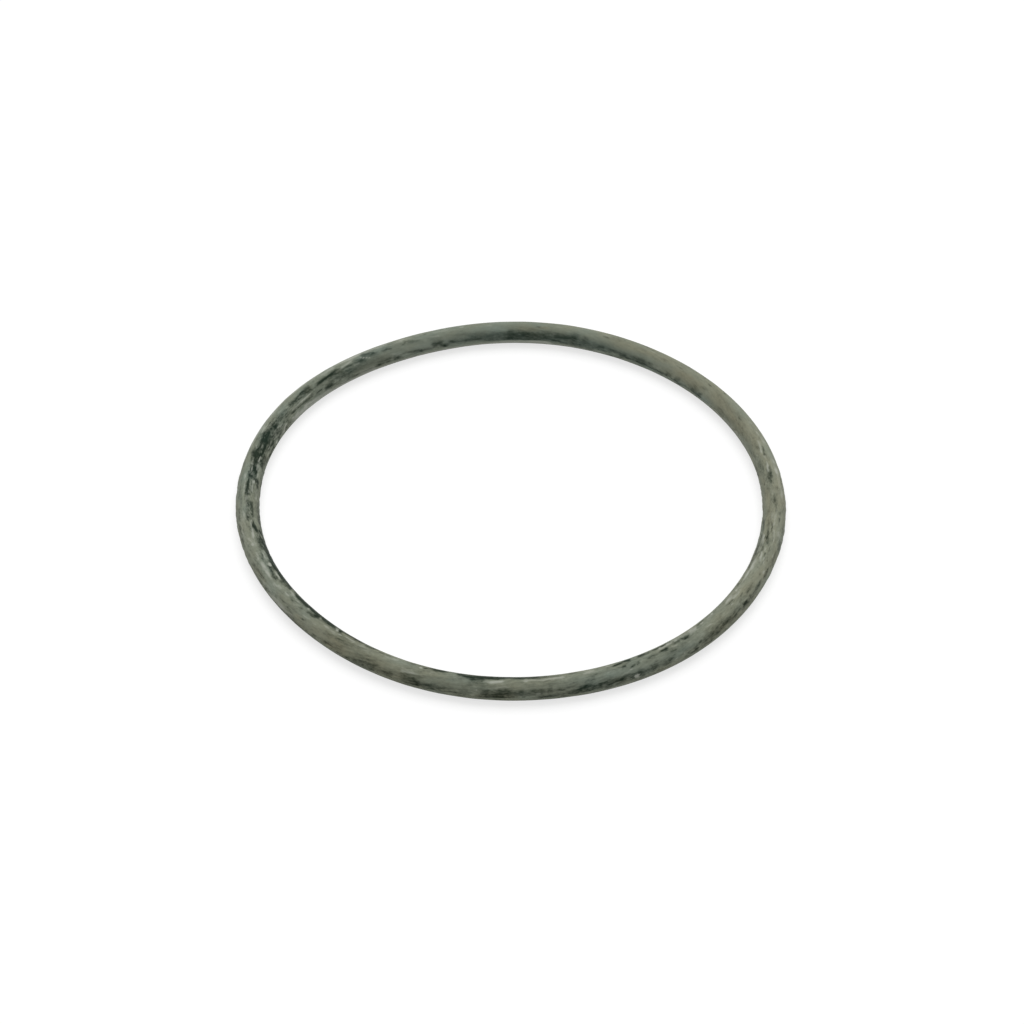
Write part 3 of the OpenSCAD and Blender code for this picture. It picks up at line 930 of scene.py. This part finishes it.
DUSTY_AND_LIT_PLACES = Reading().strokes(
    Trace.DUSTY,
    # The mark from 0 to 150 degrees at 97 percent across is painted light along the far side's inner edge,
    # drawn as thick dust.
    (-40, 60, 35, 35, 5, 42), (0, 150, 97, 97, 1.2, 80), (178, 228, 15, 25, 2, 50),
    (104.3, 122.3, 70, 70, 1.4, 50), (0.1, 15.1, 14, 14, 0.8, 50),
)
SCUFFED_PLACES = Reading().strokes(
    Trace.SCUFFED,
    (130, 150, 50, 50, 6, 44), (146, 212, 50, 50, 6, 100), (205, 290, 50, 50, 6, 42),
    (284, 382, 50, 50, 6, 62),
)
STROKES = (
    *RIGHT_END,
    *FAR_RIGHT,
    *FAR_LEFT,
    *LEFT_UPPER,
    *LEFT_END,
    *LEFT_LOWER,
    *NEAR_SIDE,
    *NEAR_RIGHT,
    *RIGHT_LOWER,
    *CHALKED_AND_LIT_FAR,
    *CHALKED_NEAR,
    *WARM_PLACES,
    *COOL_PLACES,
    *DUSTY_AND_LIT_PLACES,
    *SCUFFED_PLACES,
)


@dataclass(frozen=True)
class HiddenWear:
    """Wear for the side that the photograph doesn't show: bunches of streaks like those that it shows."""

    bunches: int = 52
    across: Span = (1.08, 1.92)
    reach_deg: Span = (3.0, 9.0)
    slope: float = 0.008
    worn: Span = (0.25, 0.8)
    ground_mm: Span = (0.8, 1.6)
    ground_share: float = 0.35
    streaks: tuple[int, int] = (4, 9)
    streak_deg: Span = (1.0, 5.0)
    streak_mm: Span = (0.12, 0.45)
    streak_share: Span = (0.5, 1.0)
    along_apart: float = 0.6
    across_apart: float = 0.1
    chalked: float = 0.3
    chalk_aside: float = 0.08
    scuffed: Stroke = Stroke(0.0, 360.0, 1.5, 1.5, 8.0, 0.8, Trace.SCUFFED)
    seed: int = 5

    def strokes(self) -> Iterator[Stroke]:
        """Makes up the strokes, one bunch after another.

        Returns:
            The strokes.
        """
        rng = Random(self.seed)
        for _ in range(self.bunches):
            middle, across = rng.uniform(0.0, 360.0), rng.uniform(*self.across)
            reach, slope = rng.uniform(*self.reach_deg), rng.gauss(0.0, self.slope)
            worn, wide = rng.uniform(*self.worn), rng.uniform(*self.ground_mm)
            yield Stroke(middle - reach, middle + reach, across, across, wide, self.ground_share * worn)
            for _ in range(rng.randint(*self.streaks)):
                start = middle + rng.gauss(0.0, self.along_apart) * reach
                end = start + rng.uniform(*self.streak_deg)
                side = across + rng.gauss(0.0, self.across_apart)
                wide = rng.uniform(*self.streak_mm)
                last = side + slope * (end - start)
                yield Stroke(start, end, side, last, wide, worn * rng.uniform(*self.streak_share))
                if rng.random() < self.chalked:
                    beside = side + self.chalk_aside
                    yield Stroke(start, end, beside, beside, wide, worn / 2, Trace.CHALK)
        yield self.scuffed


@dataclass(frozen=True)
class Wear:
    """Paints strokes of wear onto a ring's mesh, as one value for each kind of trace. Angles are radians."""

    ring: MouldedRing
    view: PhotoView
    most_across: float = 0.98
    fall: float = 0.8
    taper_widths: float = 2.5
    taper_share: float = 0.9

    def turned(self, across: np.ndarray) -> np.ndarray:
        """Turns places across the ring, as in a stroke, into section angles from what faces the camera."""
        shown = np.arcsin(np.clip(2 * across - 1, -self.most_across, self.most_across))
        return np.where(across > 1.0, (across - 0.5) * math.pi, shown)

    def paint(self, mesh: bpy.types.Mesh, strokes: Iterable[Stroke]) -> None:
        """Writes one attribute for each kind of trace.

        Args:
            mesh: The swept mesh.
            strokes: All the strokes.
        """
        around, turned = self.ring.angles()
        seen, facing = self.view.seen(around, turned, self.ring.section_r / self.ring.centre_r)
        turn = turned_from(turned, facing)
        layers = {trace: np.zeros(turn.shape) for trace in Trace}
        for stroke in strokes:
            left = 1.0 - layers[stroke.trace]
            layers[stroke.trace] = 1.0 - left * (1.0 - self.weight(stroke, seen, turn))
        for trace, values in layers.items():
            keep_on_points(mesh, trace.value, values)

    def weight(self, stroke: Stroke, seen: np.ndarray, turn: np.ndarray) -> np.ndarray:
        """Gives one stroke's strength over the skin.

        Args:
            stroke: The stroke.
            seen: The angle round the ring at which each point shows.
            turn: Each point's section angle, from what faces the camera towards the middle of the ring.

        Returns:
            Its strength at each point, from 0 to 1.
        """
        start, end = math.radians(stroke.from_deg), math.radians(stroke.to_deg)
        half = (end - start) / 2
        off = turned_from(seen, (start + end) / 2)
        share = np.clip(off / half, -1.0, 1.0) / 2 + 0.5
        across = stroke.across_from + (stroke.across_to - stroke.across_from) * share
        aside = self.ring.section_r * turned_from(turn, self.turned(across)) / (stroke.wide_mm / 2)
        taper = min(self.taper_widths * stroke.wide_mm, self.taper_share * half * self.ring.centre_r)
        past = (np.abs(off) - half) * self.ring.centre_r / taper + 0.5
        return stroke.strength * np.exp(-self.fall * aside * aside) * smooth(1.0 - past)


class Grain(Enum):
    """Noise over the skin: its blotches' length over their width, their number to a mm, and their places."""

    CLOUD = (2.5, 0.5, "skin")
    STREAK = (8.0, 1.5, "smear")
    SMEAR = (4.0, 2.6, "smear")
    FLECK = (2.2, 4.5, "skin")
    PORE = (1.0, 11.0, "skin")


@dataclass(frozen=True)
class Mottle:
    """How much of each grain a mottle holds."""

    cloud: float = 0.0
    streak: float = 0.0
    smear: float = 0.0
    fleck: float = 0.0
    pore: float = 0.0

    def of(self, grains: tuple[Shade, ...]) -> Shade:
        """Adds up its shares of the grains, which come in the order of their kinds."""
        shares = (self.cloud, self.streak, self.smear, self.fleck, self.pore)
        return sum(share * grain for share, grain in zip(shares, grains) if share)


@dataclass(frozen=True)
class DustyRubber:
    """Dark moulded rubber under a dusty grey-olive bloom, rubbed through in streaks along the ring."""

    bloom_warm: Colour = tint(131, 130, 109)
    bloom_cool: Colour = tint(118, 128, 117)
    # The thick dust colours are real dust, and along the far side's inner edge they also paint light.
    dust_and_light_warm: Colour = tint(142, 142, 123)
    dust_and_light_cool: Colour = tint(135, 144, 132)
    rubber_warm: Colour = tint(28, 35, 18)
    rubber_cool: Colour = tint(11, 32, 21)
    # The chalk colour is real chalky flecks, and along the far side's inner edge it also paints light.
    chalk: Colour = tint(168, 171, 160)
    grain_contrast: float = 4.0
    grain_detail: float = 2.0
    grain_rough: float = 0.55
    crest_rubbed: float = 0.16
    crest_mottle: Mottle = Mottle(streak=0.22, fleck=0.1)
    dust_loose: float = 0.2
    dust_scuffed: float = 0.62
    haze: Mottle = Mottle(cloud=0.12, streak=0.36, smear=0.36, fleck=0.32)
    haze_rubbed_off: float = 0.6
    worn_all_over: float = 0.12
    worn_mottle: Mottle = Mottle(smear=0.4, fleck=0.24)
    worn_span: Span = (-0.1, 1.1)
    warmth_mottle: Mottle = Mottle(cloud=0.28)
    dusty_mottle: Mottle = Mottle(streak=0.35, smear=0.3, fleck=0.25)
    chalk_share: float = 1.3
    chalk_mottle: Mottle = Mottle(fleck=0.5)
    chalk_span: Span = (0.08, 0.95)
    chalk_cover: float = 0.75
    relief: Mottle = Mottle(pore=0.4, fleck=0.3)
    worn_depth: float = 0.8
    bump_strength: float = 0.5
    bump_mm: float = 0.02
    roughness_dusty: float = 0.8
    roughness_worn: float = 0.56
    refraction: float = 1.5
    gloss: float = 0.06
    sheen: float = 0.06
    sheen_roughness: float = 0.5

    def grain(self, bench: Bench, kind: Grain) -> Shade:
        """Gives noise over the skin.

        Args:
            bench: The bench that the nodes are made on.
            kind: Which noise.

        Returns:
            Values about zero, mostly between -1 and 1.
        """
        stretch, per_mm, places = kind.value
        place = bench.node("ShaderNodeAttribute", {"attribute_name": places + "_place"}, {}, out="Vector")
        long = bench.scaled(place, (1 / stretch, 1 / stretch, 1.0))
        sockets = {
            "Vector": long,
            "W": self.painted(bench, places + "_turn"),
            "Scale": per_mm,
            "Detail": self.grain_detail,
            "Roughness": self.grain_rough,
        }
        noise_value = bench.node("ShaderNodeTexNoise", {"noise_dimensions": "4D"}, sockets)
        return (noise_value - 0.5) * self.grain_contrast

    def painted(self, bench: Bench, name: str) -> Shade:
        """Reads one of the values painted on the mesh."""
        return bench.node("ShaderNodeAttribute", {"attribute_name": name}, {}, out="Fac")

    def material(self) -> bpy.types.Material:
        """Builds the finish.

        Returns:
            The ring's material.
        """
        material = bpy.data.materials.new("dusty_rubber")
        bench = Bench(material)
        grains = tuple(self.grain(bench, kind) for kind in Grain)
        painted = (self.painted(bench, trace.value) for trace in Trace)
        rubbed, chalked, dusted_and_lit, scuffed, warmer, cooler = painted
        rubbed = rubbed + self.painted(bench, "crest") * (self.crest_rubbed + self.crest_mottle.of(grains))
        loose = self.dust_loose + self.dust_scuffed * scuffed
        haze = self.haze.of(grains) * loose * (1.0 - self.haze_rubbed_off * rubbed)
        bared = rubbed * (1.0 + self.worn_mottle.of(grains) * loose)
        worn = (self.worn_all_over + bared + haze).eased(self.worn_span)
        warmth = 0.5 + (warmer - cooler) * 0.5 + self.warmth_mottle.of(grains)
        # The dusty trace is real dust, and along the far side's inner edge it is painted light. Both thicken
        # the bloom's colour.
        dusty = dusted_and_lit + self.dusty_mottle.of(grains) * scuffed
        bloom = bench.blend(warmth, self.bloom_cool, self.bloom_warm)
        thick_dust_and_light = bench.blend(warmth, self.dust_and_light_cool, self.dust_and_light_warm)
        rubber = bench.blend(warmth, self.rubber_cool, self.rubber_warm)
        colour = bench.blend(worn, bench.blend(dusty, bloom, thick_dust_and_light), rubber)
        # The chalk trace is real chalky flecks, and along the far side's inner edge it is painted light in
        # the chalk colour.
        chalky_and_lit = (chalked * (self.chalk_share + self.chalk_mottle.of(grains)) - haze).eased(self.chalk_span)
        height = self.relief.of(grains) - self.worn_depth * worn
        relief = {"Strength": self.bump_strength, "Distance": self.bump_mm * MM, "Height": height}
        sockets = {
            "Base Color": bench.blend(chalky_and_lit * self.chalk_cover, colour, self.chalk),
            "Roughness": self.roughness_dusty - (self.roughness_dusty - self.roughness_worn) * worn,
            "IOR": self.refraction,
            "Specular IOR Level": self.gloss,
            "Sheen Weight": self.sheen,
            "Sheen Roughness": self.sheen_roughness,
            "Normal": bench.node("ShaderNodeBump", {}, relief, out="Normal"),
        }
        surface = bench.node("ShaderNodeBsdfPrincipled", {}, sockets)
        bench.place("ShaderNodeOutputMaterial", {}, {"Surface": surface})
        return material


@dataclass(frozen=True)
class Studio:
    """A plain pale floor under even soft light, with white all round."""

    floor_side_m: float = 6.0
    floor_white: float = 0.80
    shown_white: float = 0.32
    floor_glow: float = 0.70
    fill_share: float = 0.44
    sun_share: float = 0.70
    sun_softness_deg: float = 65.0
    sun_azimuth_deg: float = 5.0
    sun_height_deg: float = 68.0

    def seen(self, bench: Bench) -> Shade:
        """Gives 1 for a ray that shows the background itself.

        Args:
            bench: The bench that the nodes are made on.

        Returns:
            1 for such a ray, and 0 for any other.
        """
        rays = ("Is Camera Ray", "Is Glossy Ray", "Is Transmission Ray")
        camera, glossy, through = (bench.node("ShaderNodeLightPath", {}, {}, out=ray) for ray in rays)
        settings = {"operation": "ADD", "use_clamp": True}
        return bench.node("ShaderNodeMath", settings, {0: camera + glossy, 1: through})

    def add_world(self) -> None:
        """Fills the room with even light, and shows it as white."""
        world = bpy.data.worlds.new("studio")
        bpy.context.scene.world = world
        bench = Bench(world)
        fill = bench.node("ShaderNodeBackground", {}, {"Color": WHITE, "Strength": self.fill_share})
        white = bench.node("ShaderNodeBackground", {}, {"Color": WHITE})
        both = bench.node("ShaderNodeMixShader", {}, {0: self.seen(bench), 1: fill, 2: white})
        bench.place("ShaderNodeOutputWorld", {}, {"Surface": both})

    def add_sun(self) -> None:
        """Hangs one wide soft light overhead."""
        light = bpy.data.lights.new("soft_overhead", "SUN")
        light.energy = math.pi * self.sun_share
        light.angle = math.radians(self.sun_softness_deg)
        lamp = bpy.data.objects.new("soft_overhead", light)
        azimuth, height = math.radians(self.sun_azimuth_deg), math.radians(self.sun_height_deg)
        level = math.cos(height)
        towards = Vector((math.sin(azimuth) * level, math.cos(azimuth) * level, math.sin(height)))
        lamp.rotation_mode = "QUATERNION"
        lamp.rotation_quaternion = towards.to_track_quat("Z", "Y")
        bpy.context.scene.collection.objects.link(lamp)

    def floor_material(self) -> bpy.types.Material:
        """Builds the floor's finish, which shows white and keeps the shadow.

        Returns:
            The floor's material.
        """
        material = bpy.data.materials.new("pale_floor")
        bench = Bench(material)
        matt = bench.node("ShaderNodeBsdfDiffuse", {}, {"Color": grey(self.floor_white)})
        shown = bench.node("ShaderNodeBsdfDiffuse", {}, {"Color": grey(self.shown_white)})
        glow = bench.node("ShaderNodeEmission", {}, {"Color": WHITE, "Strength": self.floor_glow})
        white = bench.node("ShaderNodeAddShader", {}, {0: shown, 1: glow})
        both = bench.node("ShaderNodeMixShader", {}, {0: self.seen(bench), 1: matt, 2: white})
        bench.place("ShaderNodeOutputMaterial", {}, {"Surface": both})
        return material

    def add_floor(self, height: float) -> None:
        """Lays the floor.

        Args:
            height: The height of what stands on it, at its lowest.
        """
        half = self.floor_side_m / 2
        mesh = bpy.data.meshes.new("floor")
        corners = [(-half, -half, height), (half, -half, height), (half, half, height), (-half, half, height)]
        mesh.from_pydata(corners, [], [(0, 1, 2, 3)])
        mesh.materials.append(self.floor_material())
        floor = bpy.data.objects.new("floor", mesh)
        bpy.context.scene.collection.objects.link(floor)


def ring_on_seats(line: MouldLine) -> MouldedRing:
    """Works out the ring's sizes from its seats, which bear on the crests of the mould line.

    Args:
        line: The mould line.

    Returns:
        The ring that fits them.
    """
    seats = {m["name"]: m["dims"]["r_mm"] for m in frame["record"]["mounts"]}
    centre_r = (seats["inner_seat"] + seats["outer_seat"]) / 2
    crest_r = (seats["outer_seat"] - seats["inner_seat"]) / 2
    return MouldedRing(centre_r, crest_r - line.flash_h, line)


def main() -> None:
    """Builds the ring, dresses it, and lays it in the studio."""
    logging.basicConfig(level=logging.INFO)
    bpy.context.scene.view_settings.view_transform = "Standard"
    view = PhotoView()
    sizes = ring_on_seats(MouldLine())
    view.add_camera(sizes.centre_r * MM)
    ring = sizes.build()
    Wear(sizes, view).paint(ring.data, (*STROKES, *HiddenWear().strokes()))
    ring.data.materials.append(DustyRubber().material())
    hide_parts("o_ring")
    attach(ring, "root")
    lowest = min(v.co.z for v in ring.data.vertices)
    LOG.info("moulded_ring: %d faces, lowest point %.4f mm", len(ring.data.polygons), lowest / MM)
    studio = Studio()
    studio.add_world()
    studio.add_sun()
    studio.add_floor(lowest)


if __name__ == "__main__":
    main()
